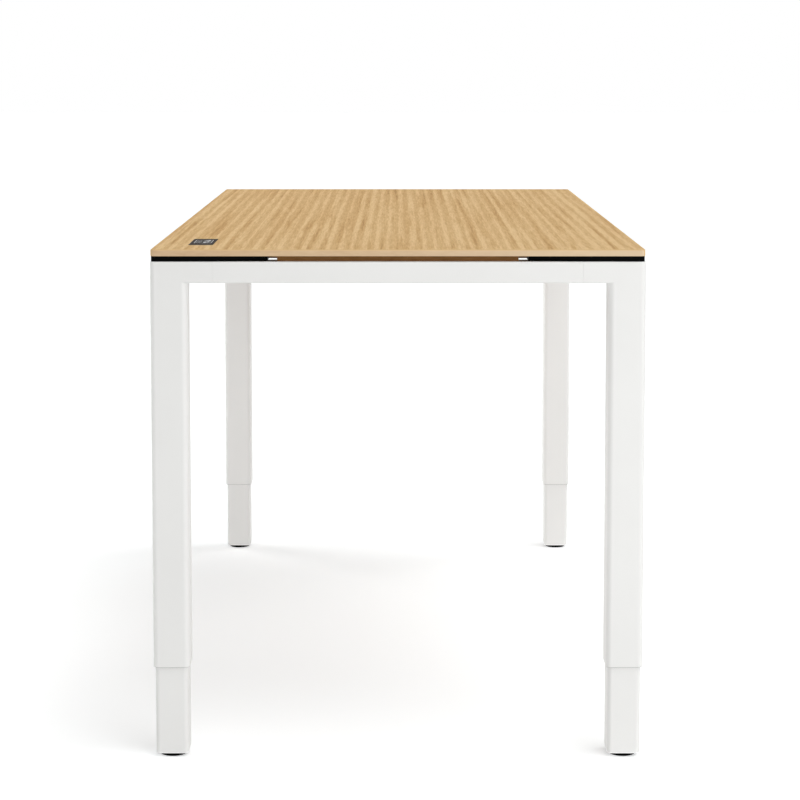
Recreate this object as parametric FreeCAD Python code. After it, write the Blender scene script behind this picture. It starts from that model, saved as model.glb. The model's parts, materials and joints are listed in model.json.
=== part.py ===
import FreeCAD, Part
import os

# An electric standing desk: an oak board on a white steel frame with four telescopic legs.
# Sizes are in millimetres. +X runs along the desk, +Y from the user's side to the back, +Z is up.
# The origin is on the floor under the middle of the board. The desk stands at desk_height.

# Overall sizes and travel of the lift
desk_length = 1600.0
desk_depth = 800.0
desk_height = 840.0
travel_down = 140.0
travel_up = 360.0

# Board: a full-size upper layer, and a core layer below it that stands back from the edge
board_edge = 11.4
core_depth = 8.5
core_setback = 11.0
board_corner = 8.0
board_top_arris = 2.0
board_low_arris = 0.6

# Touch panel, let in flush at the user's right
panel_length = 121.0
panel_width = 40.5
panel_from_end = 81.0
panel_from_front = 54.0
panel_depth = 7.0
panel_corner = 3.0
panel_glass = 1.6
panel_wall = 1.5
panel_clearance = 0.3
lead_slot_length = 16.0
lead_slot_width = 8.0
lead_slot_offset = 8.0

# Rails: rectangular tube, flush with the columns, which stand a little proud of the board
frame_proud = 1.5
rail_depth = 40.0
rail_height = 35.0
rail_wall = 2.0
rail_round = 2.5
seam_gap = 0.15

# Columns: square tube with a stub towards each rail
column_width = 60.0
column_wall = 1.8
column_round = 9.0
stub_length = 42.0
column_end = 151.0
collar_lip = 4.0
collar_lip_round = 1.0
collar_sleeve = 60.0

# Inner tubes, which slide in the columns
guide_gap = 1.2
glide_clearance = 0.3
tube_wall = 1.8
tube_round = 7.5
upper_glide_length = 40.0
upper_glide_lip = 1.5
upper_glide_fit = 0.1

# Corner plates between the frame and the board
plate_arm = 190.0
plate_width = 62.0
plate_inset = 2.3
plate_taper = 9.0
plate_inner_round = 12.0
plate_end_round = 3.0
pocket_end_gap = 16.0
pocket_side_gap = 2.5

# Drive in the top of each column
motor_length = 120.0
motor_gap = 2.7
motor_flange = 5.0
motor_flange_clearance = 0.5
motor_seat = 4.0
motor_seat_clearance = 1.0
motor_boss = 8.0
motor_boss_diameter = 30.0
tube_top_clearance = 3.0
spindle_diameter = 14.0
spindle_grip = 12.0
spindle_end_play = 2.0
spindle_stop_diameter = 22.0
spindle_stop = 3.0
running_clearance = 0.05
nut_height = 20.0
nut_clearance = 0.2
nut_top_clearance = 4.0

# Feet
foot_diameter = 46.0
foot_height = 5.4
foot_edge_round = 2.0
foot_clearance = 0.3
foot_stem_diameter = 8.0
foot_stem_height = 25.0
foot_thread_clearance = 0.05
cap_rim = 3.0
cap_rim_round = 2.0
cap_seam_round = 0.5
cap_plug = 17.0
cap_plug_clearance = 0.2
cap_hollow_depth = 12.0
cap_wall = 3.0
cap_boss_diameter = 18.0

# Control box under the board
box_length = 240.0
box_width = 96.0
box_height = 31.0
box_wall = 2.5
box_corner = 5.0
box_from_back_rail = 14.0
box_plate = 1.5
box_ear = 22.0
circuit_board = 1.6
circuit_margin = 4.0
spacer_height = 6.0
spacer_diameter = 7.0
spacer_inset = 12.0
inlet_length = 30.0
inlet_height = 22.0
inlet_depth = 16.0
inlet_wall = 2.6
inlet_floor = 3.0
inlet_pin_length = 7.0
inlet_pin_width = 4.0
inlet_pin_thickness = 2.0
inlet_pin_pitch = 7.0
inlet_pin_stagger = 4.0
component_length = 30.0
component_width = 32.0
component_pitch = 60.0
gland_diameter = 11.0
gland_neck = 6.0
gland_reach = 5.0
gland_pitch = 17.0
gland_count = 5

# Rail joiners and fasteners
joiner_length = 64.0
joiner_wall = 3.0
joiner_clearance = 0.3
screw_clearance = 0.3
thread_clearance = 0.1
joiner_screw_shank = 6.0
joiner_screw_key = 4.0
joiner_screw_socket = 2.4
plate_screw_head = 9.0
plate_screw_head_height = 3.0
plate_screw_shank = 5.0
plate_screw_key = 3.0
motor_screw_head = 7.5
motor_screw_head_height = 2.6
motor_screw_shank = 4.0
motor_screw_key = 2.5
wood_screw_head = 9.0
wood_screw_head_height = 3.0
wood_screw_shank = 5.0
wood_screw_key = 3.0
ear_screw_head = 8.0
ear_screw_head_height = 3.0
ear_screw_shank = 4.0
ear_screw_key = 2.5
screw_in_wood = 8.0
board_screw_margin = 17.0
side_rail_screw = 320.0
access_hole_diameter = 12.0
rivet_diameter = 5.0
rivet_bite = 8.0
rivet_sink = 0.1

# Worked-out sizes
Vector = FreeCAD.Vector
along_x = Vector(1, 0, 0)
along_y = Vector(0, 1, 0)
along_z = Vector(0, 0, 1)
origin = Vector(0, 0, 0)
same_place = 1e-4

board_top = desk_height
edge_bottom = board_top - board_edge
frame_top = edge_bottom - core_depth
rail_bottom = frame_top - rail_height
rail_middle = frame_top - rail_height / 2
frame_x = desk_length / 2 + frame_proud
frame_y = desk_depth / 2 + frame_proud
column_half = column_width / 2
column_x = frame_x - column_half
column_y = frame_y - column_half
column_inner = column_width - 2 * column_wall
column_inner_round = column_round - column_wall
column_bottom = column_end + collar_lip
stub_end = -column_half - stub_length
rail_centre = column_half - rail_depth / 2
plate_end = column_half - plate_arm
plate_flange = column_half - (rail_depth + plate_width) / 2
joiner_screw_head = joiner_screw_shank + 2 * rail_wall

tube_width = column_inner - 2 * guide_gap
tube_inner = tube_width - 2 * tube_wall
tube_inner_round = tube_round - tube_wall
motor_seat_bottom = frame_top - motor_flange - motor_seat
motor_bottom = frame_top - motor_length
motor_diameter = tube_inner - 2 * motor_gap
motor_flange_width = column_inner - 2 * motor_flange_clearance
tube_top = motor_seat_bottom - tube_top_clearance - travel_down
nut_top = motor_bottom - nut_top_clearance - travel_down
nut_bottom = nut_top - nut_height
spindle_top = motor_bottom + spindle_grip
spindle_bottom = nut_bottom - travel_up - 2 * spindle_stop
tube_bottom = foot_height + foot_clearance + cap_rim

corners = {
    "back_right": (1, 1, 0),
    "back_left": (-1, 1, 90),
    "front_left": (-1, -1, 180),
    "front_right": (1, -1, 270),
}

# Screw places at one corner, measured from the column's axis
stub_screw = stub_end + joiner_length / 4
rail_screw = stub_end - joiner_length / 4
joiner_screw_places = [
    (stub_screw, rail_centre),
    (rail_screw, rail_centre),
    (rail_centre, stub_screw),
    (rail_centre, rail_screw),
]
plate_on_stub = -column_half - stub_length / 2
plate_on_rail = (stub_end + plate_end) / 2
plate_screw_places = [
    (plate_on_stub, rail_centre),
    (plate_on_rail, rail_centre),
    (rail_centre, plate_on_stub),
    (rail_centre, plate_on_rail),
]
flange_near = stub_end
flange_far = plate_end + board_screw_margin
board_screw_places = [
    (flange_near, plate_flange),
    (flange_far, plate_flange),
    (plate_flange, flange_near),
    (plate_flange, flange_far),
]
motor_screw_reach = motor_flange_width / 2 - motor_screw_head
motor_screw_places = [
    (sx * motor_screw_reach, sy * motor_screw_reach) for sx in (-1, 1) for sy in (-1, 1)
]

# Screw places along the rails, measured from the desk's middle
rail_board_places = [
    (-side_rail_screw, frame_y - rail_depth / 2),
    (side_rail_screw, frame_y - rail_depth / 2),
    (-side_rail_screw, -frame_y + rail_depth / 2),
    (side_rail_screw, -frame_y + rail_depth / 2),
    (-frame_x + rail_depth / 2, 0.0),
    (frame_x - rail_depth / 2, 0.0),
]

box_back = frame_y - rail_depth - box_from_back_rail
box_middle = box_back - box_width / 2
box_top = frame_top - box_plate
ear_screw_x = box_length / 2 + box_ear / 2
ear_screw_y = box_width / 2 - box_ear / 2
ear_screw_places = [
    (sx * ear_screw_x, box_middle + sy * ear_screw_y) for sx in (-1, 1) for sy in (-1, 1)
]


def block(x0, x1, y0, y1, z0, z1):
    return Part.makeBox(x1 - x0, y1 - y0, z1 - z0, Vector(x0, y0, z0))


def straight_edges(shape, axis):
    """The edges of a plain block that run along an axis."""
    return [
        edge for edge in shape.Edges
        if edge.tangentAt(edge.FirstParameter).cross(axis).Length < same_place
    ]


def level_edges(shape, height):
    """The edges that lie in one horizontal plane."""
    return [
        edge for edge in shape.Edges
        if all(abs(vertex.Z - height) < same_place for vertex in edge.Vertexes)
    ]


def round_block(x0, x1, y0, y1, z0, z1, radius, axis):
    """A block whose edges along one axis are rounded."""
    shape = block(x0, x1, y0, y1, z0, z1)
    return shape.makeFillet(radius, straight_edges(shape, axis))


def square_bar(width, radius, z0, z1):
    """An upright square bar on the column's axis, with rounded corners."""
    half = width / 2
    return round_block(-half, half, -half, half, z0, z1, radius, along_z)


def round_upright(shape, x, y, radius):
    """Rounds the upright edge that stands at one point."""
    edges = [
        edge for edge in straight_edges(shape, along_z)
        if all(abs(v.X - x) < same_place and abs(v.Y - y) < same_place for v in edge.Vertexes)
    ]
    return shape.makeFillet(radius, edges)


def rod(diameter, z0, z1, x=0.0, y=0.0):
    return Part.makeCylinder(diameter / 2, z1 - z0, Vector(x, y, z0))


def screw(head, head_height, key, shank, shank_length, x, y, seat, points_up):
    """A socket screw whose head seats at a height, with its shank pointing up or down."""
    top = rod(head, 0, head_height)
    socket = rod(key, head_height / 3, head_height)
    shape = top.cut(socket).fuse(rod(shank, -shank_length, 0))
    if points_up:
        shape.rotate(origin, along_x, 180)
    shape.translate(Vector(x, y, seat))
    return shape


def sunk_head(margin, x, y):
    """The cone of a joiner screw's head, flush below a rail, with a margin all round."""
    wide = joiner_screw_head / 2 + margin
    narrow = joiner_screw_shank / 2 + margin
    return Part.makeCone(wide, narrow, rail_wall, Vector(x, y, rail_bottom))


def at_corner(shape, corner):
    """A copy of a piece that was made about the column's axis, turned and moved to its corner."""
    side_x, side_y, turn = corners[corner]
    placed = shape.copy()
    placed.rotate(origin, along_z, turn)
    placed.translate(Vector(side_x * column_x, side_y * column_y, 0))
    return placed


def at_all_corners(shapes):
    return [at_corner(shape, corner) for corner in corners for shape in shapes]


def export(name, shape):
    shape.exportStep(os.path.join("parts", name + ".step"))


def export_corners(name, shape):
    for corner in corners:
        export(name + "_" + corner, at_corner(shape, corner))


# Holes that the frame's tubes share at one corner
def make_tube_holes():
    """Cuts for the joiner screws below the tubes and the plate screws above them."""
    below = [sunk_head(screw_clearance, x, y) for x, y in joiner_screw_places]
    above = [
        rod(plate_screw_shank + 2 * thread_clearance, frame_top - rail_wall, frame_top, x, y)
        for x, y in plate_screw_places
    ]
    return Part.makeCompound(below + above)


def make_column():
    """The outer tube with its two stubs and the ring that the motor hangs from."""
    tube = square_bar(column_width, column_round, column_bottom, frame_top)
    tube = tube.makeFillet(rail_round, level_edges(tube, frame_top))
    near = column_half - rail_depth
    stub_x = round_block(stub_end, 0, near, column_half, rail_bottom, frame_top, rail_round, along_x)
    stub_y = round_block(near, column_half, stub_end, 0, rail_bottom, frame_top, rail_round, along_y)
    column = tube.fuse([stub_x, stub_y]).removeSplitter()
    low = rail_bottom + rail_wall
    high = frame_top - rail_wall
    hollow = square_bar(column_inner, column_inner_round, column_bottom, motor_seat_bottom)
    recess = square_bar(column_inner, column_inner_round, frame_top - motor_flange, frame_top)
    throat = rod(motor_diameter + 2 * motor_seat_clearance, motor_seat_bottom, frame_top)
    inside_x = block(stub_end, -column_half, near + rail_wall, column_half - rail_wall, low, high)
    inside_y = block(near + rail_wall, column_half - rail_wall, stub_end, -column_half, low, high)
    threads = [
        rod(motor_screw_shank + 2 * thread_clearance, motor_seat_bottom, frame_top, x, y)
        for x, y in motor_screw_places
    ]
    return column.cut([hollow, recess, throat, inside_x, inside_y, make_tube_holes()] + threads)


def make_rail(half_length, along_length):
    """A rail about the desk's middle, for the +X or the +Y side."""
    if along_length:
        outer = (-half_length, half_length, frame_y - rail_depth, frame_y)
        axis = along_x
    else:
        outer = (frame_x - rail_depth, frame_x, -half_length, half_length)
        axis = along_y
    x0, x1, y0, y1 = outer
    rail = round_block(x0, x1, y0, y1, rail_bottom, frame_top, rail_round, axis)
    wall_x = 0 if along_length else rail_wall
    wall_y = rail_wall if along_length else 0
    hollow = block(
        x0 + wall_x, x1 - wall_x, y0 + wall_y, y1 - wall_y,
        rail_bottom + rail_wall, frame_top - rail_wall,
    )
    return rail.cut(hollow)


def make_rails():
    """The four rails, drilled for the screws at their corners and for those into the board."""
    corner_holes = at_all_corners([make_tube_holes()])
    board_holes = []
    for x, y in rail_board_places:
        board_holes.append(rod(wood_screw_shank + 2 * screw_clearance, rail_middle, frame_top, x, y))
        board_holes.append(rod(access_hole_diameter, rail_bottom, rail_middle, x, y))
    holes = corner_holes + board_holes
    seam = column_width + stub_length + seam_gap
    side = make_rail(frame_x - seam, True)
    end = make_rail(frame_y - seam, False)
    rails = {
        "side_rail_back": side,
        "side_rail_front": side.mirror(origin, along_y),
        "end_rail_right": end,
        "end_rail_left": end.mirror(origin, along_x),
    }
    return {name: rail.cut(holes) for name, rail in rails.items()}


def make_joiners():
    """The two sleeves at one corner that line the rails up with the stubs."""
    half_depth = rail_depth / 2 - rail_wall - joiner_clearance
    half_height = rail_height / 2 - rail_wall - joiner_clearance
    start = stub_end - joiner_length / 2
    stop = stub_end + joiner_length / 2
    sleeve = block(
        start, stop, rail_centre - half_depth, rail_centre + half_depth,
        rail_middle - half_height, rail_middle + half_height,
    )
    inside = block(
        start, stop, rail_centre - half_depth + joiner_wall, rail_centre + half_depth - joiner_wall,
        rail_middle - half_height + joiner_wall, rail_middle + half_height - joiner_wall,
    )
    threads = [
        rod(joiner_screw_shank + 2 * thread_clearance, rail_bottom, rail_middle, x, y)
        for x, y in joiner_screw_places[:2]
    ]
    along = sleeve.cut([inside] + threads)
    across = along.mirror(origin, Vector(1, -1, 0))
    return [along, across]


def make_corner_plate():
    """The black spacer: two arms whose outer edges taper in past the rails' seams."""
    face = column_half - plate_inset
    tip = face - plate_taper
    inner = column_half - plate_width
    outline = [
        (face, face), (stub_end, face), (plate_end, tip), (plate_end, inner), (inner, inner),
        (inner, plate_end), (tip, plate_end), (face, stub_end), (face, face),
    ]
    wire = Part.makePolygon([Vector(x, y, frame_top) for x, y in outline])
    plate = Part.Face(wire).extrude(Vector(0, 0, core_depth))
    plate = round_upright(plate, face, face, column_round - plate_inset)
    plate = round_upright(plate, inner, inner, plate_inner_round)
    for x, y in ((plate_end, tip), (plate_end, inner), (tip, plate_end), (inner, plate_end)):
        plate = round_upright(plate, x, y, plate_end_round)
    top = frame_top + core_depth
    cuts = []
    for x, y in plate_screw_places:
        sunk = top - plate_screw_head_height - screw_clearance
        cuts.append(rod(plate_screw_shank + 2 * screw_clearance, frame_top, top, x, y))
        cuts.append(rod(plate_screw_head + 2 * screw_clearance, sunk, top, x, y))
    for x, y in board_screw_places:
        cuts.append(rod(wood_screw_shank + 2 * screw_clearance, frame_top, top, x, y))
    return plate.cut(cuts)


def make_plate_screws():
    seat = frame_top + core_depth - plate_screw_head_height - screw_clearance
    length = seat - frame_top + rail_wall
    kind = (plate_screw_head, plate_screw_head_height, plate_screw_key, plate_screw_shank)
    return [screw(*kind, length, x, y, seat, False) for x, y in plate_screw_places]


def make_board_screws():
    length = core_depth + screw_in_wood
    kind = (wood_screw_head, wood_screw_head_height, wood_screw_key, wood_screw_shank)
    return [screw(*kind, length, x, y, frame_top, True) for x, y in board_screw_places]


def make_joiner_screws():
    """Countersunk screws that lie flush below the rails and bite in the joiners."""
    seat = rail_bottom + rail_wall
    tip = seat + joiner_clearance + joiner_wall
    screws = []
    for x, y in joiner_screw_places:
        shank = rod(joiner_screw_shank, seat, tip, x, y)
        socket = rod(joiner_screw_key, rail_bottom, rail_bottom + joiner_screw_socket, x, y)
        screws.append(sunk_head(0.0, x, y).fuse(shank).cut(socket))
    return screws


def make_motor_screws():
    seat = frame_top - motor_screw_head_height - screw_clearance
    length = seat - motor_seat_bottom
    kind = (motor_screw_head, motor_screw_head_height, motor_screw_key, motor_screw_shank)
    return [screw(*kind, length, x, y, seat, False) for x, y in motor_screw_places]


def make_rail_board_screws():
    seat = frame_top - rail_wall
    length = rail_wall + core_depth + screw_in_wood
    kind = (wood_screw_head, wood_screw_head_height, wood_screw_key, wood_screw_shank)
    return [screw(*kind, length, x, y, seat, True) for x, y in rail_board_places]


def make_guide_collar():
    """The sleeve in the column's mouth that the inner tube slides through, with its visible lip."""
    lip = square_bar(column_width, column_round, column_end, column_bottom)
    lip = lip.makeFillet(collar_lip_round, level_edges(lip, column_end))
    sleeve = square_bar(column_inner, column_inner_round, column_bottom, column_bottom + collar_sleeve)
    passage = square_bar(
        tube_width + 2 * glide_clearance, tube_round + glide_clearance,
        column_end, column_bottom + collar_sleeve,
    )
    return lip.fuse(sleeve).cut(passage)


def make_motor():
    """The closed gear motor: flange, round body and the boss that takes the spindle."""
    flange = square_bar(
        motor_flange_width, column_inner_round - motor_flange_clearance,
        frame_top - motor_flange, frame_top,
    )
    body = rod(motor_diameter, motor_bottom + motor_boss, frame_top - motor_flange)
    boss = rod(motor_boss_diameter, motor_bottom, motor_bottom + motor_boss)
    bore = rod(
        spindle_diameter + 2 * running_clearance,
        motor_bottom, spindle_top + spindle_end_play,
    )
    under = frame_top - motor_flange
    sunk = frame_top - motor_screw_head_height - screw_clearance
    cuts = [bore]
    for x, y in motor_screw_places:
        cuts.append(rod(motor_screw_shank + 2 * screw_clearance, under, frame_top, x, y))
        cuts.append(rod(motor_screw_head + 2 * screw_clearance, sunk, frame_top, x, y))
    return flange.fuse([body, boss]).removeSplitter().cut(cuts)


def make_spindle():
    """The lifting spindle with the stop disc that keeps the nut on it."""
    shaft = rod(spindle_diameter, spindle_bottom, spindle_top)
    stop = rod(spindle_stop_diameter, spindle_bottom, spindle_bottom + spindle_stop)
    return shaft.fuse(stop).removeSplitter()


def make_rivets():
    """Four flush rivets that hold the nut in the inner tube, one in each wall."""
    reach = tube_width / 2 - rivet_sink
    height = (nut_top + nut_bottom) / 2
    first = Part.makeCylinder(
        rivet_diameter / 2, rivet_bite, Vector(reach - rivet_bite, 0, height), along_x,
    )
    rivets = []
    for turn in (0, 90, 180, 270):
        rivet = first.copy()
        rivet.rotate(origin, along_z, turn)
        rivets.append(rivet)
    return rivets


def make_rivet_holes():
    """The drilled holes that the rivets sit in."""
    height = (nut_top + nut_bottom) / 2
    reach = tube_width / 2 - rivet_sink - rivet_bite
    radius = rivet_diameter / 2 + thread_clearance
    length = rivet_bite + rivet_sink
    return [
        Part.makeCylinder(radius, length, axis * reach + Vector(0, 0, height), axis)
        for axis in (along_x, along_y, along_x * -1, along_y * -1)
    ]


def make_inner_tube():
    outer = square_bar(tube_width, tube_round, tube_bottom, tube_top)
    inner = square_bar(tube_inner, tube_inner_round, tube_bottom, tube_top)
    return outer.cut([inner] + make_rivet_holes())


def make_nut():
    width = tube_inner - 2 * nut_clearance
    nut = square_bar(width, tube_inner_round - nut_clearance, nut_bottom, nut_top)
    bore = rod(spindle_diameter + 2 * running_clearance, nut_bottom, nut_top)
    return nut.cut([bore] + make_rivet_holes())


def make_upper_glide():
    """The slide collar on the inner tube's top, hooked over its edge."""
    width = column_inner - 2 * glide_clearance
    round_off = column_inner_round - glide_clearance
    outer = square_bar(width, round_off, tube_top - upper_glide_length, tube_top + upper_glide_lip)
    seat = square_bar(
        tube_width + 2 * upper_glide_fit, tube_round + upper_glide_fit,
        tube_top - upper_glide_length, tube_top,
    )
    mouth = square_bar(tube_inner, tube_inner_round, tube_top, tube_top + upper_glide_lip)
    return outer.cut([seat, mouth])


def make_end_cap():
    """The plug in the inner tube's foot: a rounded rim, a hollow plug and a threaded boss."""
    rim_bottom = tube_bottom - cap_rim
    rim = square_bar(tube_width, tube_round, rim_bottom, tube_bottom)
    rim = rim.makeFillet(cap_rim_round, level_edges(rim, rim_bottom))
    rim = rim.makeFillet(cap_seam_round, level_edges(rim, tube_bottom))
    plug_width = tube_inner - 2 * cap_plug_clearance
    plug_top = tube_bottom + cap_plug
    plug = square_bar(plug_width, tube_inner_round - cap_plug_clearance, tube_bottom, plug_top)
    hollow = square_bar(
        plug_width - 2 * cap_wall, tube_inner_round / 2, plug_top - cap_hollow_depth, plug_top,
    )
    boss = rod(cap_boss_diameter, tube_bottom, plug_top)
    web = cap_wall / 2
    reach = plug_width / 2 - web
    ribs = [
        block(-reach, reach, -web, web, tube_bottom, plug_top),
        block(-web, web, -reach, reach, tube_bottom, plug_top),
    ]
    thread = rod(foot_stem_diameter + 2 * foot_thread_clearance, rim_bottom, plug_top)
    return rim.fuse(plug).cut(hollow).fuse([boss] + ribs).removeSplitter().cut(thread)


def make_foot():
    """The black levelling glide with its threaded stem."""
    disc = rod(foot_diameter, 0, foot_height)
    disc = disc.makeFillet(foot_edge_round, level_edges(disc, 0) + level_edges(disc, foot_height))
    return disc.fuse(rod(foot_stem_diameter, foot_height / 2, foot_stem_height))


def make_board_pocket():
    """The L-shaped pocket in the core at one corner, which leaves a slit round the plate."""
    edge = column_half - frame_proud
    deep = column_half - plate_width - pocket_side_gap
    long = plate_end - pocket_end_gap
    along = block(long, edge, deep, edge, frame_top, edge_bottom)
    across = block(deep, edge, long, edge, frame_top, edge_bottom)
    pocket = along.fuse(across).removeSplitter()
    return round_upright(pocket, deep, deep, plate_inner_round - pocket_side_gap)


def make_panel_space(margin, z0, z1):
    """The panel's rounded outline, from the user's side of the board's right end."""
    x1 = desk_length / 2 - panel_from_end
    y0 = panel_from_front - desk_depth / 2
    return round_block(
        x1 - panel_length - margin, x1 + margin, y0 - margin, y0 + panel_width + margin,
        z0, z1, panel_corner + margin, along_z,
    )


def make_lead_slot():
    """The slot that the panel's lead takes down through the board."""
    x = desk_length / 2 - panel_from_end - panel_length / 2
    y = panel_from_front - desk_depth / 2 + panel_width / 2 + lead_slot_offset
    half = lead_slot_length / 2
    return block(x - half, x + half, y - lead_slot_width / 2, y + lead_slot_width / 2, frame_top, board_top)


def make_desktop():
    half_x = desk_length / 2
    half_y = desk_depth / 2
    edge = round_block(-half_x, half_x, -half_y, half_y, edge_bottom, board_top, board_corner, along_z)
    edge = edge.makeFillet(board_top_arris, level_edges(edge, board_top))
    edge = edge.makeFillet(board_low_arris, level_edges(edge, edge_bottom))
    core_x = half_x - core_setback
    core_y = half_y - core_setback
    core = block(-core_x, core_x, -core_y, core_y, frame_top, edge_bottom)
    core = core.cut(at_all_corners([make_board_pocket()]))
    recess = make_panel_space(panel_clearance, board_top - panel_depth, board_top)
    drill = wood_screw_shank + 2 * thread_clearance
    deep = edge_bottom + screw_in_wood
    corner_drills = [rod(drill, frame_top, deep, x, y) for x, y in board_screw_places]
    rail_drills = [rod(drill, frame_top, deep, x, y) for x, y in rail_board_places]
    ear_drill = ear_screw_shank + 2 * thread_clearance
    ear_drills = [rod(ear_drill, frame_top, deep, x, y) for x, y in ear_screw_places]
    cuts = [recess, make_lead_slot()] + at_all_corners(corner_drills) + rail_drills + ear_drills
    return edge.fuse(core).removeSplitter().cut(cuts)


def make_panel():
    """The touch panel's tray and its glass."""
    floor = board_top - panel_depth
    seat = board_top - panel_glass
    tray = make_panel_space(0.0, floor, seat)
    inside = make_panel_space(-panel_wall, floor + panel_wall, seat)
    tray = tray.cut([inside, make_lead_slot()])
    return tray, make_panel_space(0.0, seat, board_top)


def make_control_box():
    """The control box's pieces: base plate, shell, circuit board, mains inlet and lead glands."""
    half_x = box_length / 2
    half_y = box_width / 2
    y0 = box_middle - half_y
    y1 = box_middle + half_y
    bottom = box_top - box_height
    ears = half_x + box_ear
    plate = round_block(-ears, ears, y0, y1, box_top, frame_top, box_corner, along_z)
    ear_hole = ear_screw_shank + 2 * screw_clearance
    plate = plate.cut([rod(ear_hole, box_top, frame_top, x, y) for x, y in ear_screw_places])
    post_x = half_x - box_wall - spacer_inset
    post_y = half_y - box_wall - spacer_inset
    posts = [
        rod(spacer_diameter, box_top - spacer_height, box_top, sx * post_x, box_middle + sy * post_y)
        for sx in (-1, 1) for sy in (-1, 1)
    ]
    plate = plate.fuse(posts)

    shell = round_block(-half_x, half_x, y0, y1, bottom, box_top, box_corner, along_z)
    shell = shell.makeFillet(box_wall, level_edges(shell, bottom))
    hollow = round_block(
        box_wall - half_x, half_x - box_wall, y0 + box_wall, y1 - box_wall,
        bottom + box_wall, box_top, box_corner - box_wall, along_z,
    )
    gland_height = (bottom + box_top - spacer_height - circuit_board) / 2
    gland_places = [box_middle + (i - (gland_count - 1) / 2) * gland_pitch for i in range(gland_count)]
    holes = [
        Part.makeCylinder(gland_neck / 2, box_wall, Vector(half_x - box_wall, y, gland_height), along_x)
        for y in gland_places
    ]
    shell = shell.cut([hollow] + holes)
    glands = []
    for y in gland_places:
        outside = Vector(half_x, y, gland_height)
        flange = Part.makeCone(gland_diameter / 2, gland_neck / 2, gland_reach, outside, along_x)
        neck = Part.makeCylinder(gland_neck / 2 - thread_clearance, box_wall, outside, along_x * -1)
        glands.append(flange.fuse(neck))

    circuit_top = box_top - spacer_height
    circuit_low = circuit_top - circuit_board
    gap = box_wall + circuit_margin
    circuit = block(gap - half_x, half_x - gap, y0 + gap, y1 - gap, circuit_low, circuit_top)
    tall = circuit_low - bottom - box_wall - circuit_margin
    components = [
        block(
            x - component_length / 2, x + component_length / 2,
            box_middle - component_width / 2, box_middle + component_width / 2,
            circuit_low - tall, circuit_low,
        )
        for x in (-component_pitch, 0.0, component_pitch)
    ]
    circuit = circuit.fuse(components)

    inlet_middle = (bottom + box_top) / 2
    outer = round_block(
        -half_x - inlet_depth, -half_x, box_middle - inlet_length / 2, box_middle + inlet_length / 2,
        inlet_middle - inlet_height / 2, inlet_middle + inlet_height / 2, inlet_wall, along_x,
    )
    cavity_y = inlet_length / 2 - inlet_wall
    cavity_z = inlet_height / 2 - inlet_wall
    inlet_back = -half_x - inlet_floor
    cavity = block(
        -half_x - inlet_depth, inlet_back, box_middle - cavity_y, box_middle + cavity_y,
        inlet_middle - cavity_z, inlet_middle + cavity_z,
    )
    pins = []
    for step, side in ((-1, -1), (0, 1), (1, -1)):
        y = box_middle + step * inlet_pin_pitch
        z = inlet_middle + side * inlet_pin_stagger / 2
        pins.append(block(
            inlet_back - inlet_pin_length, inlet_back,
            y - inlet_pin_thickness / 2, y + inlet_pin_thickness / 2,
            z - inlet_pin_width / 2, z + inlet_pin_width / 2,
        ))
    inlet = outer.cut(cavity).fuse(pins)

    ear_length = core_depth + screw_in_wood
    ear_kind = (ear_screw_head, ear_screw_head_height, ear_screw_key, ear_screw_shank)
    ear_screws = [screw(*ear_kind, ear_length, x, y, box_top, True) for x, y in ear_screw_places]
    return {
        "control_box_plate": plate,
        "control_box_shell": shell,
        "control_board": circuit,
        "mains_inlet": inlet,
        "lead_glands": Part.makeCompound(glands),
        "control_box_screws": Part.makeCompound(ear_screws),
    }


os.makedirs("parts", exist_ok=True)

export("desktop", make_desktop())
panel_tray, panel_cover = make_panel()
export("panel_housing", panel_tray)
export("panel_glass", panel_cover)

export_corners("column", make_column())
export_corners("corner_plate", make_corner_plate())
export_corners("guide_collar", make_guide_collar())
export_corners("drive_motor", make_motor())
export_corners("spindle", make_spindle())
export_corners("inner_tube", make_inner_tube())
export_corners("spindle_nut", make_nut())
export_corners("upper_glide", make_upper_glide())
export_corners("end_cap", make_end_cap())
export_corners("levelling_foot", make_foot())

for rail_name, rail_shape in make_rails().items():
    export(rail_name, rail_shape)
for box_name, box_shape in make_control_box().items():
    export(box_name, box_shape)

export("rail_joiners", Part.makeCompound(at_all_corners(make_joiners())))
export("rail_joiner_screws", Part.makeCompound(at_all_corners(make_joiner_screws())))
export("corner_plate_screws", Part.makeCompound(at_all_corners(make_plate_screws())))
export("board_screws", Part.makeCompound(at_all_corners(make_board_screws())))
export("motor_screws", Part.makeCompound(at_all_corners(make_motor_screws())))
export("nut_rivets", Part.makeCompound(at_all_corners(make_rivets())))
export("rail_board_screws", Part.makeCompound(make_rail_board_screws()))
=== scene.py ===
import json
import math

import bpy
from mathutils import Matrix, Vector


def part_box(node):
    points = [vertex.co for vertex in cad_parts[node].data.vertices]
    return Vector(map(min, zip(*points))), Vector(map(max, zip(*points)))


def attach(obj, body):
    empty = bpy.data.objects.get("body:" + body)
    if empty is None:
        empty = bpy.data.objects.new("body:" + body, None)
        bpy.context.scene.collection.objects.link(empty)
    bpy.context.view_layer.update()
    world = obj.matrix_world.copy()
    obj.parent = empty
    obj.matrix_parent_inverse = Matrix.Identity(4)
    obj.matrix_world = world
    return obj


# Looks of an electric standing desk: an oak board on a white steel frame with four telescopic legs.
# Lengths are in metres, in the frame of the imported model. Colours of finishes are 8-bit screen values.

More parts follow.
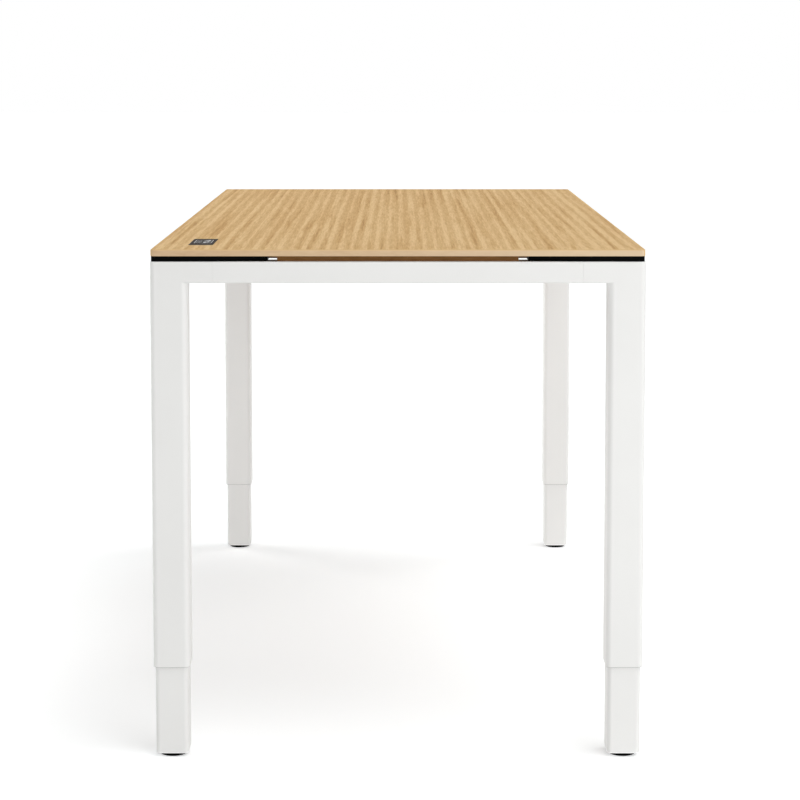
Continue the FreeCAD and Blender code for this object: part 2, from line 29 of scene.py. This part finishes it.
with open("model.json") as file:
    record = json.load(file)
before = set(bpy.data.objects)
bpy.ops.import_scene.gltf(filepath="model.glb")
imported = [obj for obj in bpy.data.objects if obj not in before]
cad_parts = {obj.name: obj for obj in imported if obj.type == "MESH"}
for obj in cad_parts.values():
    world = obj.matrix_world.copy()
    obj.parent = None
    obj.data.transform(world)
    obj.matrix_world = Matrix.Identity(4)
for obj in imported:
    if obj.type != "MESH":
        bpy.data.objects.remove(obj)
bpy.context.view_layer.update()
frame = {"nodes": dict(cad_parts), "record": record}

# Board, as far as its finish follows it
BOARD_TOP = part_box("desktop")[1].z
EDGE_HEIGHT = 0.0114
EDGE_ROUND = 0.002
EDGE_BLUR = (0.0001, 0.0004)

# Oak face. Scales are features per metre along the board, across it and through it.
# Lamellae lie side by side across the board. Their edges wander and fray by these reaches.
LAMELLA_PITCH = 0.0197
WANDER_SCALE = (0.9, 3.0, 3.0)
WANDER_REACH = 0.010
RAGGED_SCALE = (6.0, 110.0, 110.0)
RAGGED_REACH = 0.007
# Shares of the pitch in which a lamella grows light, and then dark again
LIGHTENS = (0.0, 0.20)
DARKENS = (0.40, 0.70)
DARKENS_VARIETY = 0.30
LAMELLA_DRAW = 57.0
# Tone of the face, and what its figure and its painted light add to it
MEAN_TONE = 0.58
STRIPE_SCALE = (0.8, 26.0, 26.0)
STRIPE_TONE = 0.27
STRIPE_VARIETY = 0.34
STREAK_SCALE = (1.7, 95.0, 95.0)
STREAK_RANGE = (0.50, 0.72)
STREAK_TONE = -0.38
CLOUD_SCALE = (1.3, 38.0, 38.0)
CLOUD_TONE = 0.65
FIBRE_SCALE = (20.0, 440.0, 440.0)
FIBRE_TONE = 1.15
DRIFT_SCALE = (0.7, 5.0, 5.0)
DRIFT_TONE = 0.32
# Painted light: the face grows lighter along the board towards +X and across it towards +Y.
PAINTED_LIGHT_ALONG = 0.09
PAINTED_LIGHT_ACROSS = 0.05
PORE_SCALE = (42.0, 900.0, 900.0)
PORE_RANGE = (0.60, 0.74)
PORE_SHARE = 0.36

# Oak ends, with the places across the board between which a painted sheen makes them lighter
BLOCK_SCALE = (2.0, 14.0, 40.0)
BLOCK_SHARE = 0.6
END_STREAK_SCALE = (60.0, 60.0, 260.0)
END_STREAK_SHARE = 0.4
END_SHEEN_SPAN = (-0.25, 0.45)
END_SHEEN_SHARE = 0.6
END_FACING = (0.55, 0.75)

# Oak core, and a painted highlight on the round top edge: its depth below the top and the tilt at which
# it shows
CORE_SCALE = (3.0, 45.0, 260.0)
ARRIS_HIGHLIGHT_DEPTH = (1.3 * EDGE_ROUND, 0.8 * EDGE_ROUND)
ARRIS_HIGHLIGHT_TILT = (0.99, 0.90)
ARRIS_HIGHLIGHT_SHARE = 0.8

# Coats, mouldings and metals. The variety, duller and brighter values change a roughness.
COAT_CLOUD_SCALE = (7.0, 7.0, 7.0)
COAT_CLOUD_RANGE = (0.3, 0.7)
COAT_GLOSS_SCALE = (60.0, 60.0, 60.0)
COAT_GLOSS_VARIETY = 0.05
# Tilts of the faces that look down, which take painted shade
SHADED_UNDERSIDE_FACING = (-0.60, -0.20)
METAL_STREAK_RANGE = (0.25, 0.75)
METAL_DULLER = 0.10
METAL_BRIGHTER = 0.06

# Panel cover and circuit board
SPECKLE_SCALE = (2600.0, 2600.0, 2600.0)
SPECKLE_RANGE = (0.3, 0.7)
SMEAR_SCALE = (40.0, 40.0, 40.0)
TRACK_SCALE = (20.0, 420.0, 20.0)
TRACK_RANGE = (0.52, 0.55)

# Marks on the touch panel: a line round a height reading, its two arrows and three digits below.
# Places are along the panel's length and width, from its middle.
MARK_HEIGHT = 0.00008
FIELD_MIDDLE = -0.008
FIELD_LENGTH = 0.058
FIELD_WIDTH = 0.029
FIELD_LINE = 0.0008
READING_HEIGHT = 0.0055
READING_PITCH = 0.0105
READING_SIZE = 0.0105
READING_STROKE = 0.0022
ARROW_PLACE = 0.0215
ARROW_SIZE = 0.0088
DIGIT_HEIGHT = -0.0078
DIGIT_PITCH = 0.0165
DIGIT_SIZE = 0.0078
DIGIT_STROKE = 0.0015
# A digit's half width as a share of its size, and the gap at a bar's end as a share of its stroke
DIGIT_HALF_WIDTH = 0.28
BAR_GAP = 0.62
LIT_BARS = {
    0: ("top", "bottom", "upper_left", "upper_right", "lower_left", "lower_right"),
    1: ("upper_right", "lower_right"),
    2: ("top", "upper_right", "middle", "lower_left", "bottom"),
    3: ("top", "upper_right", "middle", "lower_right", "bottom"),
    4: ("upper_left", "middle", "upper_right", "lower_right"),
    8: ("top", "middle", "bottom", "upper_left", "upper_right", "lower_left", "lower_right"),
}

# Camera, as fitted to the photograph's 800 pixel frame
IMAGE_SIDE = 800.0
FOCAL_PIXELS = 2197.0
CENTRE_PIXEL = (396.1, 255.1)
CAMERA_PLACE = (4.3293, -0.0028, 1.1519)
CAMERA_PITCH = math.radians(5.2)
SENSOR_WIDTH = 36.0

# Studio
AMBIENT = 0.27
SUN_DIRECTION = (0.12, 0.48, 1.0)
SUN_SPREAD = math.radians(50.0)
SUN_STRENGTH = 1.46
FILL_DIRECTION = (1.0, 0.5, 0.2)
FILL_SPREAD = math.radians(60.0)
FILL_STRENGTH = 0.97
RIGHT_LAMP = {"place": (2.6, 1.0, 0.6), "target": (0.0, 0.0, 0.45), "size": 1.2, "energy": 9.4}
LEFT_LAMP = {"place": (-3.5, -5.2, 1.6), "target": (0.0, 0.0, 0.45), "size": 3.0, "energy": 176.0}
LOW_LAMP = {
    "place": (0.9, -1.3, 0.4), "target": (-0.77, 0.0, 0.4), "size": 0.6, "energy": 1.6,
    "spread": math.radians(70.0),
}
SIDE_LAMP = {
    "place": (1.0, -4.0, 0.8), "target": (0.77, 0.34, 0.4), "size": 0.8, "energy": 1.1,
    "spread": math.radians(40.0),
}
INNER_LAMP = {
    "place": (-2.0, 2.4, 0.5), "target": (-0.8, -0.3, 0.4), "size": 0.8, "energy": 2.5,
    "spread": math.radians(60.0),
}
FLOOR_SIZE = 80.0
FLOOR_SEEN_GLOW = 0.37
FLOOR_SEEN_COLOUR = (0.88, 0.90, 0.905, 1.0)
FLOOR_BOUNCE = 0.85


def screen(red, green, blue):
    """A colour of 8-bit screen values, as the linear colour that shaders take."""
    def linear(value):
        share = value / 255
        return share / 12.92 if share <= 0.04045 else ((share + 0.055) / 1.055) ** 2.4
    return linear(red), linear(green), linear(blue), 1.0


class Finish:
    """One procedural material. Its texture space is metres in the desk's frame."""

    def __init__(self, name, constants):
        self.material = bpy.data.materials.new(name)
        self.material.use_nodes = True
        self.tree = self.material.node_tree
        self.shader = self.tree.nodes["Principled BSDF"]
        for socket, value in constants.items():
            self.shader.inputs[socket].default_value = value

    def feed(self, socket, value):
        """Joins another node's output to a socket, or sets a constant on it."""
        if isinstance(value, bpy.types.NodeSocket):
            self.tree.links.new(value, socket)
        else:
            socket.default_value = value

    def add(self, kind, inputs, **settings):
        node = self.tree.nodes.new("ShaderNode" + kind)
        for name, value in settings.items():
            setattr(node, name, value)
        for socket, value in inputs.items():
            self.feed(node.inputs[socket], value)
        return node

    def math(self, operation, *values):
        return self.add("Math", dict(enumerate(values)), operation=operation).outputs[0]

    def sum(self, first, second):
        return self.math("ADD", first, second)

    def less(self, first, second):
        return self.math("SUBTRACT", first, second)

    def times(self, first, second):
        return self.math("MULTIPLY", first, second)

    def centred(self, value, amount):
        """A value about 0.5, moved to lie about zero and times an amount."""
        return self.math("MULTIPLY_ADD", value, amount, -0.5 * amount)

    def step(self, value, low, high):
        """0 below low and 1 above high, with a smooth rise between them."""
        node = self.add(
            "MapRange", {"Value": value, "From Min": low, "From Max": high},
            interpolation_type="SMOOTHSTEP",
        )
        return node.outputs["Result"]

    def place(self, axis):
        return self.axis(self.add("TexCoord", {}).outputs["Object"], axis)

    def facing(self, axis):
        return self.axis(self.add("TexCoord", {}).outputs["Normal"], axis)

    def axis(self, vector, name):
        return self.add("SeparateXYZ", {0: vector}).outputs[name]

    def noise(self, scale, detail=2.0, roughness=0.5):
        """Soft noise with its own scale, in features per metre, along each axis."""
        place = self.add("TexCoord", {}).outputs["Object"]
        vector = self.add("VectorMath", {0: place, 1: scale}, operation="MULTIPLY").outputs[0]
        node = self.add(
            "TexNoise", {"Vector": vector, "Scale": 1.0, "Detail": detail, "Roughness": roughness},
        )
        return node.outputs[0]

    def draw(self, value, offset):
        """One fixed random number for each whole value."""
        node = self.add("TexWhiteNoise", {"W": self.sum(value, offset)}, noise_dimensions="1D")
        return node.outputs[0]

    def ramp(self, value, stops):
        """Colours along a value, as pairs of place and colour. The first two are its ends."""
        node = self.add("ValToRGB", {0: value})
        elements = node.color_ramp.elements
        for number, (place, colour) in enumerate(stops):
            element = elements[number] if number < 2 else elements.new(place)
            element.position = place
            element.color = colour
        return node.outputs[0]

    def mix(self, share, first, second):
        """The first colour where the share is 0, the second where it is 1."""
        node = self.add("Mix", {0: share, 6: first, 7: second}, data_type="RGBA")
        return node.outputs[2]

    def paint(self, colour):
        self.feed(self.shader.inputs["Base Color"], colour)

    def rough(self, value, at_zero, at_one):
        node = self.add("MapRange", {"Value": value, "To Min": at_zero, "To Max": at_one})
        self.feed(self.shader.inputs["Roughness"], node.outputs["Result"])

    def bump(self, height, strength, distance):
        node = self.add("Bump", {"Strength": strength, "Distance": distance, "Height": height})
        self.feed(self.shader.inputs["Normal"], node.outputs["Normal"])


# Wood of the board: streaked veneer on its faces with painted light across them, a lighter band on its
# ends with a painted sheen, a painted highlight on the round top edge, and a brown core below
def oak_stripes(finish):
    """Light and dark across each lamella, from 0 to a strength that varies over the board."""
    wander = finish.centred(finish.noise(WANDER_SCALE), WANDER_REACH)
    ragged = finish.centred(finish.noise(RAGGED_SCALE, detail=3.0, roughness=0.65), RAGGED_REACH)
    across = finish.sum(finish.place("Y"), finish.sum(wander, ragged))
    in_pitches = finish.times(across, 1 / LAMELLA_PITCH)
    number = finish.math("FLOOR", in_pitches)
    within = finish.math("FRACT", in_pitches)
    later = finish.centred(finish.draw(number, LAMELLA_DRAW), DARKENS_VARIETY)
    rise = finish.step(within, *LIGHTENS)
    fall = finish.step(finish.less(within, later), *DARKENS)
    variety = finish.centred(finish.noise(STRIPE_SCALE), STRIPE_VARIETY)
    return finish.times(finish.less(rise, fall), finish.sum(variety, STRIPE_TONE))


def oak_figure(finish):
    """Tone of the face, from 0 for its darkest streaks to 1 for its lightest, with painted light that
    grows towards +X and +Y.
    """
    streak = finish.step(finish.noise(STREAK_SCALE, detail=3.0, roughness=0.6), *STREAK_RANGE)
    tone = finish.sum(oak_stripes(finish), MEAN_TONE)
    for part in (
        # Painted light: lighter towards +X and towards +Y
        finish.times(finish.place("X"), PAINTED_LIGHT_ALONG),
        finish.times(finish.place("Y"), PAINTED_LIGHT_ACROSS),
        finish.times(streak, STREAK_TONE),
        finish.centred(finish.noise(CLOUD_SCALE, detail=3.0, roughness=0.55), CLOUD_TONE),
        finish.centred(finish.noise(FIBRE_SCALE, roughness=0.6), FIBRE_TONE),
        finish.centred(finish.noise(DRIFT_SCALE), DRIFT_TONE),
    ):
        tone = finish.sum(tone, part)
    return tone


def oak_band(finish):
    """Colour of the board's ends, with a painted sheen that makes them lighter towards the back."""
    blocks = finish.times(finish.noise(BLOCK_SCALE, roughness=0.6), BLOCK_SHARE)
    streaks = finish.times(finish.noise(END_STREAK_SCALE, detail=3.0, roughness=0.6), END_STREAK_SHARE)
    band = finish.ramp(finish.sum(blocks, streaks), [
        (0.35, screen(206, 174, 138)), (0.65, screen(219, 190, 154)),
    ])
    # Painted sheen: the ends grow lighter towards +Y, up to this pale colour.
    painted_sheen = finish.times(finish.step(finish.place("Y"), *END_SHEEN_SPAN), END_SHEEN_SHARE)
    return finish.mix(painted_sheen, band, screen(228, 207, 176))


def oak():
    finish = Finish("oak_lacquered", {"Specular IOR Level": 0.04})
    tone = oak_figure(finish)
    pores = finish.step(finish.noise(PORE_SCALE, detail=1.0), *PORE_RANGE)
    face = finish.ramp(tone, [
        (0.0, screen(180, 137, 80)), (1.0, screen(232, 197, 140)),
        (0.35, screen(203, 160, 102)), (0.62, screen(215, 176, 118)),
    ])
    face = finish.mix(finish.times(pores, PORE_SHARE), face, screen(150, 112, 70))
    core = finish.ramp(finish.noise(CORE_SCALE, detail=4.0, roughness=0.6), [
        (0.2, screen(122, 85, 48)), (0.8, screen(153, 111, 67)),
    ])
    on_end = finish.step(finish.math("ABSOLUTE", finish.facing("X")), *END_FACING)
    # Painted highlight: a lighter colour on the round top edge, just below the top where it tilts away
    # from flat.
    near_top = finish.step(finish.place("Z"), *(BOARD_TOP - depth for depth in ARRIS_HIGHLIGHT_DEPTH))
    tilted = finish.step(finish.facing("Z"), *ARRIS_HIGHLIGHT_TILT)
    arris_highlight = finish.times(finish.times(near_top, tilted), ARRIS_HIGHLIGHT_SHARE)
    edge_bottom = BOARD_TOP - EDGE_HEIGHT
    above_core = finish.step(finish.place("Z"), *(edge_bottom + blur for blur in EDGE_BLUR))
    wood = finish.mix(arris_highlight, finish.mix(on_end, face, oak_band(finish)), screen(221, 187, 138))
    finish.paint(finish.mix(above_core, core, wood))
    finish.rough(tone, at_zero=0.62, at_one=0.50)
    finish.bump(finish.less(tone, pores), strength=0.12, distance=0.0002)
    return finish.material


def coated(name, colour, darker, roughness, peel, specular, shaded_underside=None):
    """A sprayed or moulded surface: faint clouds of colour and a fine skin texture, with painted shade
    on the faces that look down when a colour for it is given.
    """
    finish = Finish(name, {"Specular IOR Level": specular})
    clouds = finish.noise(COAT_CLOUD_SCALE, detail=3.0)
    surface = finish.ramp(clouds, zip(COAT_CLOUD_RANGE, (darker, colour)))
    # Painted shade on the faces that look down
    if shaded_underside:
        surface = finish.mix(finish.step(finish.facing("Z"), *SHADED_UNDERSIDE_FACING), shaded_underside, surface)
    finish.paint(surface)
    finish.rough(
        finish.noise(COAT_GLOSS_SCALE),
        at_zero=roughness - COAT_GLOSS_VARIETY, at_one=roughness + COAT_GLOSS_VARIETY,
    )
    finish.bump(finish.noise((peel, peel, peel), roughness=0.6), strength=0.04, distance=0.0002)
    return finish.material


def panel_cover():
    """Smoked cover with a faint sparkle in it."""
    finish = Finish("panel_cover", {"Specular IOR Level": 0.002})
    speckle = finish.noise(SPECKLE_SCALE, detail=1.0)
    colours = screen(63, 60, 57), screen(72, 69, 66)
    finish.paint(finish.ramp(speckle, zip(SPECKLE_RANGE, colours)))
    finish.rough(finish.noise(SMEAR_SCALE), at_zero=0.45, at_one=0.55)
    return finish.material


def metal(name, colour, darker, scale, roughness):
    """Bare or plated metal with brushed streaks."""
    finish = Finish(name, {"Metallic": 1.0})
    streaks = finish.noise(scale, detail=3.0, roughness=0.6)
    finish.paint(finish.ramp(streaks, zip(METAL_STREAK_RANGE, (darker, colour))))
    finish.rough(streaks, at_zero=roughness + METAL_DULLER, at_one=roughness - METAL_BRIGHTER)
    finish.bump(streaks, strength=0.06, distance=0.0001)
    return finish.material


def circuit():
    """Green laminate with tracks that run along it."""
    finish = Finish("circuit_laminate", {})
    tracks = finish.noise(TRACK_SCALE, detail=1.0)
    lines = finish.step(tracks, *TRACK_RANGE)
    finish.paint(finish.mix(lines, screen(34, 92, 56), screen(52, 124, 74)))
    finish.rough(tracks, at_zero=0.35, at_one=0.50)
    return finish.material


# Finishes by slot. Peel is the fineness of a coat's skin, in features per metre.
WHITE = screen(236, 236, 234)
WHITE_DARKER = screen(234, 234, 232)
finishes = {
    "oak": oak(),
    "white_paint": coated(
        "white_powder_coat", WHITE, WHITE_DARKER,
        roughness=0.48, peel=900.0, specular=0.40,
    ),
    # The collar's faces that look down carry painted shade: a dark line under the column's end.
    "collar_plastic": coated(
        "white_collar", WHITE, WHITE_DARKER,
        roughness=0.48, peel=1500.0, specular=0.40, shaded_underside=screen(140, 140, 139),
    ),
    "white_plastic": coated(
        "white_moulding", screen(250, 250, 249), screen(248, 248, 247),
        roughness=0.30, peel=1500.0, specular=0.45,
    ),
    "black_plastic": coated(
        "black_moulding", screen(7, 7, 7), screen(4, 4, 4),
        roughness=0.50, peel=1300.0, specular=0.02,
    ),
    "panel_glass": panel_cover(),
    "glide_plastic": coated(
        "slide_acetal", screen(226, 224, 216), screen(219, 217, 208),
        roughness=0.34, peel=1200.0, specular=0.45,
    ),
    "black_rubber": coated(
        "black_rubber", screen(6, 6, 6), screen(4, 4, 4),
        roughness=0.70, peel=1700.0, specular=0.02,
    ),
    "motor_paint": coated(
        "motor_enamel", screen(52, 53, 55), screen(44, 45, 47),
        roughness=0.48, peel=700.0, specular=0.45,
    ),
    "bright_steel": metal(
        "ground_steel", screen(208, 208, 210), screen(178, 179, 182),
        scale=(220.0, 220.0, 30.0), roughness=0.28,
    ),
    "zinc_screws": metal(
        "zinc_plating", screen(206, 208, 212), screen(182, 185, 190),
        scale=(500.0, 500.0, 500.0), roughness=0.32,
    ),
    "zinc_sheet": metal(
        "zinc_sheet", screen(200, 203, 206), screen(170, 174, 178),
        scale=(12.0, 160.0, 60.0), roughness=0.36,
    ),
    "circuit": circuit(),
}
print_finish = coated(
    "panel_print", screen(236, 237, 238), screen(228, 229, 230),
    roughness=0.55, peel=1500.0, specular=0.3,
)

for subpart in frame["record"]["subparts"]:
    frame["nodes"][subpart["node"]].data.materials[0] = finishes[subpart["material_slot"]]


# Marks on the touch panel
def flat_mark(name, outlines):
    """A thin solid on the panel, from anticlockwise outlines in the panel's length and width."""
    low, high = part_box("panel_glass")
    middle = (low + high) / 2
    points = []
    faces = []
    for outline in outlines:
        count = len(outline)
        bottom = list(range(len(points), len(points) + count))
        top = [corner + count for corner in bottom]
        for height in (high.z, high.z + MARK_HEIGHT):
            points += [(middle.x + x, middle.y + y, height) for x, y in outline]
        faces += [bottom[::-1], top]
        for here in range(count):
            after = (here + 1) % count
            faces.append([bottom[here], bottom[after], top[after], top[here]])
    mesh = bpy.data.meshes.new(name)
    mesh.from_pydata(points, [], faces)
    mark = bpy.data.objects.new(name, mesh)
    bpy.context.scene.collection.objects.link(mark)
    mesh.materials.append(print_finish)
    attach(mark, "lift")


def bar(x0, y0, x1, y1):
    return [(x0, y0), (x1, y0), (x1, y1), (x0, y1)]


def segments(digit, x, y, size, stroke):
    """The lit bars of a seven-bar digit, as outlines about its middle."""
    half_x = size * DIGIT_HALF_WIDTH
    half_y = size / 2
    gap = stroke * BAR_GAP
    level = {"top": half_y, "middle": 0.0, "bottom": -half_y}
    outlines = []
    for name in LIT_BARS[digit]:
        if name in level:
            height = y + level[name]
            outlines.append(bar(
                x - half_x + gap, height - stroke / 2, x + half_x - gap, height + stroke / 2,
            ))
        else:
            side = x + (half_x if name.endswith("right") else -half_x)
            low = y + (0.0 if name.startswith("upper") else -half_y)
            outlines.append(bar(
                side - stroke / 2, low + gap, side + stroke / 2, low + half_y - gap,
            ))
    return outlines


def field_line():
    """The four bars of the line round the marks."""
    x0 = FIELD_MIDDLE - FIELD_LENGTH / 2
    x1 = FIELD_MIDDLE + FIELD_LENGTH / 2
    y1 = FIELD_WIDTH / 2
    line = FIELD_LINE
    return [
        bar(x0, -y1, x1, line - y1),
        bar(x0, y1 - line, x1, y1),
        bar(x0, line - y1, x0 + line, y1 - line),
        bar(x1 - line, line - y1, x1, y1 - line),
    ]


def arrow(x, y, turn):
    """A triangle that points up where the turn is 1, and down where it is -1."""
    half = turn * ARROW_SIZE / 2
    return [(x - half, y - half), (x + half, y - half), (x, y + half)]


flat_mark("panel_display_line", field_line())
reading = []
for step, digit in ((-1, 8), (0, 4), (1, 0)):
    place = FIELD_MIDDLE + step * READING_PITCH
    reading += segments(digit, place, READING_HEIGHT, READING_SIZE, READING_STROKE)
flat_mark("panel_height_reading", reading)

for name, turn in (("down", -1), ("up", 1)):
    place = FIELD_MIDDLE + turn * ARROW_PLACE
    flat_mark("panel_arrow_" + name, [arrow(place, READING_HEIGHT, turn)])
for step, digit in ((-1, 1), (0, 2), (1, 3)):
    place = FIELD_MIDDLE + step * DIGIT_PITCH
    outlines = segments(digit, place, DIGIT_HEIGHT, DIGIT_SIZE, DIGIT_STROKE)
    flat_mark("panel_memory_%d" % digit, outlines)


# Studio: a pale floor, white surroundings, a wide sun, a low fill and five soft lamps
def seen_share(tree):
    """1 for rays that show what they meet, straight or by gloss or glass, and 0 for diffuse light."""
    path = tree.nodes.new("ShaderNodeLightPath")
    share = path.outputs["Is Camera Ray"]
    for kind in ("Is Glossy Ray", "Is Transmission Ray"):
        either = tree.nodes.new("ShaderNodeMath")
        either.operation = "MAXIMUM"
        tree.links.new(share, either.inputs[0])
        tree.links.new(path.outputs[kind], either.inputs[1])
        share = either.outputs[0]
    return share


def make_floor():
    """A floor that takes the desk's shadow, and glows a little where it is seen."""
    mesh = bpy.data.meshes.new("floor")
    half = FLOOR_SIZE / 2
    corners = [(-half, -half, 0), (half, -half, 0), (half, half, 0), (-half, half, 0)]
    mesh.from_pydata(corners, [], [(0, 1, 2, 3)])
    floor = bpy.data.objects.new("floor", mesh)
    bpy.context.scene.collection.objects.link(floor)
    material = bpy.data.materials.new("floor_white")
    material.use_nodes = True
    tree = material.node_tree
    tree.nodes.remove(tree.nodes["Principled BSDF"])
    bounce = tree.nodes.new("ShaderNodeBsdfDiffuse")
    bounce.inputs["Color"].default_value = (FLOOR_BOUNCE, FLOOR_BOUNCE, FLOOR_BOUNCE, 1)
    pale = tree.nodes.new("ShaderNodeBsdfDiffuse")
    pale.inputs["Color"].default_value = FLOOR_SEEN_COLOUR
    glow = tree.nodes.new("ShaderNodeEmission")
    glow.inputs["Strength"].default_value = FLOOR_SEEN_GLOW
    both = tree.nodes.new("ShaderNodeAddShader")
    tree.links.new(pale.outputs[0], both.inputs[0])
    tree.links.new(glow.outputs[0], both.inputs[1])
    choose = tree.nodes.new("ShaderNodeMixShader")
    tree.links.new(seen_share(tree), choose.inputs[0])
    tree.links.new(bounce.outputs[0], choose.inputs[1])
    tree.links.new(both.outputs[0], choose.inputs[2])
    tree.links.new(choose.outputs[0], tree.nodes["Material Output"].inputs["Surface"])
    mesh.materials.append(material)


def make_world():
    """White where it is seen or reflected, and a plain ambient level elsewhere."""
    world = bpy.data.worlds.new("studio")
    world.use_nodes = True
    bpy.context.scene.world = world
    tree = world.node_tree
    background = tree.nodes["Background"]
    background.inputs["Color"].default_value = (1, 1, 1, 1)
    level = tree.nodes.new("ShaderNodeMapRange")
    level.inputs["To Min"].default_value = AMBIENT
    level.inputs["To Max"].default_value = 1.0
    tree.links.new(seen_share(tree), level.inputs["Value"])
    tree.links.new(level.outputs["Result"], background.inputs["Strength"])


def aim(thing, direction):
    """Turns a lamp or camera to look along a direction."""
    thing.rotation_euler = direction.to_track_quat("-Z", "Y").to_euler()


def add_lamp(name, kind, place, target, **settings):
    data = bpy.data.lights.new(name, kind)
    for setting, value in settings.items():
        setattr(data, setting, value)
    lamp = bpy.data.objects.new(name, data)
    bpy.context.scene.collection.objects.link(lamp)
    lamp.location = place
    aim(lamp, Vector(target) - Vector(place))


def make_camera():
    data = bpy.data.cameras.new("camera")
    data.sensor_width = SENSOR_WIDTH
    data.lens = FOCAL_PIXELS * SENSOR_WIDTH / IMAGE_SIDE
    data.shift_x = (IMAGE_SIDE / 2 - CENTRE_PIXEL[0]) / IMAGE_SIDE
    data.shift_y = (CENTRE_PIXEL[1] - IMAGE_SIDE / 2) / IMAGE_SIDE
    camera = bpy.data.objects.new("camera", data)
    bpy.context.scene.collection.objects.link(camera)
    camera.location = CAMERA_PLACE
    aim(camera, Vector((-math.cos(CAMERA_PITCH), 0, -math.sin(CAMERA_PITCH))))
    bpy.context.scene.camera = camera


make_floor()
make_world()
add_lamp("key_sun", "SUN", SUN_DIRECTION, (0, 0, 0), energy=SUN_STRENGTH, angle=SUN_SPREAD)
add_lamp("front_fill", "SUN", FILL_DIRECTION, (0, 0, 0), energy=FILL_STRENGTH, angle=FILL_SPREAD)
add_lamp("right_lamp", "AREA", **RIGHT_LAMP)
add_lamp("left_lamp", "AREA", **LEFT_LAMP)
add_lamp("low_lamp", "AREA", **LOW_LAMP)
add_lamp("side_lamp", "AREA", **SIDE_LAMP)
add_lamp("inner_lamp", "AREA", **INNER_LAMP)
make_camera()
bpy.context.scene.view_settings.view_transform = "Standard"
